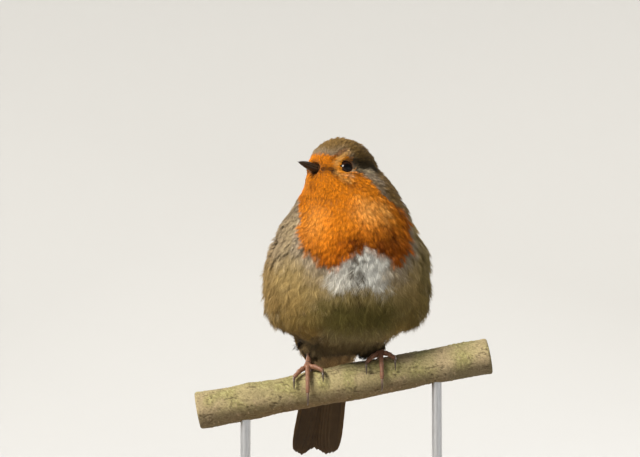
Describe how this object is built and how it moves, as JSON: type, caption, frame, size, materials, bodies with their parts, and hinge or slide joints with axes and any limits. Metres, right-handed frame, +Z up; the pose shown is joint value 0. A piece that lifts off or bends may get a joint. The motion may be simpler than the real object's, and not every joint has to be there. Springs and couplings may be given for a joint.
{
  "type": "european robin model",
  "caption": "Life-size still model of a fluffed-up European robin gripping a cut length of branch, held over a round base by short rods.",
  "frame": {"origin": "middle of the underside of the stand's base", "axes": "+Z up; the picture's camera looks along +Y, so the breast faces -Y; +X is to the camera's right, the bird's left"},
  "size_m": [0.1186, 0.1148, 0.1591],
  "materials": {
    "plumage_orange": "soft loose feathers",
    "plumage_pale": "soft loose feathers",
    "flight_feather": "smooth closed vanes",
    "bill": "horn, half gloss",
    "eye": "wet gloss",
    "leg": "fine scales",
    "claw": "horn, half gloss",
    "bark": "rough bark with lichen",
    "stand_wood": "satin varnish",
    "stand_metal": "brushed"
  },
  "bodies": {
    "root": {"head": "plumage_orange", "neck": "plumage_orange", "trunk": "plumage_pale", "bill_upper": "bill", "bill_lower": "bill", "eye_left": "eye", "thigh_left": "plumage_pale", "shank_left": "leg", "foot_left": "leg", "wing_left": "flight_feather", "claw_left_middle": "claw", "claw_left_inner": "claw", "claw_left_outer": "claw", "claw_left_hind": "claw", "eye_right": "eye", "thigh_right": "plumage_pale", "shank_right": "leg", "foot_right": "leg", "wing_right": "flight_feather", "claw_right_middle": "claw", "claw_right_inner": "claw", "claw_right_outer": "claw", "claw_right_hind": "claw", "tail": "flight_feather", "perch": "bark", "stand_base": "stand_wood", "stand_rod_left": "stand_metal", "stand_rod_right": "stand_metal"}
  },
  "joints": []
}
